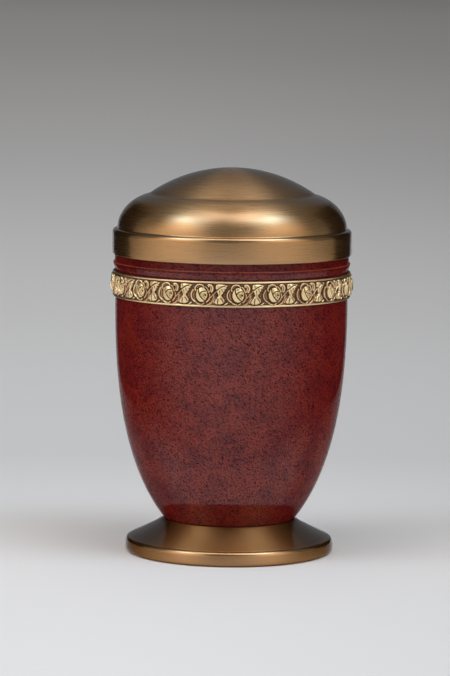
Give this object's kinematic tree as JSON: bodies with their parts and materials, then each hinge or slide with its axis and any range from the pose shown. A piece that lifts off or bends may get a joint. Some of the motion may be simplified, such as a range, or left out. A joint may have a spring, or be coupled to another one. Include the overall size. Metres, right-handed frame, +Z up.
{
  "type": "cremation urn",
  "caption": "Egg-shaped lacquered metal urn on a flared spun brass foot, with a lift-off domed brass lid and a pressed brass border of roses and leaves round its shoulder.",
  "frame": {"origin": "middle of the flat ring that the foot stands on", "axes": "+Z up along the axis of turning, -Y towards the front that the picture shows, +X to the viewer's right"},
  "size_m": [0.2116, 0.2118, 0.3384],
  "materials": {
    "brass_lid": "antique brass, satin, brushed round the axis, clear lacquered",
    "red_lacquer": "deep red lacquer with fine dark flecks under a gloss clear coat",
    "brass_border": "pale gold brass, polished high points, dark brown patina in the hollows",
    "brass_foot": "antique brass, satin, brushed round the axis, clear lacquered"
  },
  "bodies": {
    "root": {"lid": "brass_lid", "body": "red_lacquer", "rose_band": "brass_border", "foot": "brass_foot"}
  },
  "joints": []
}
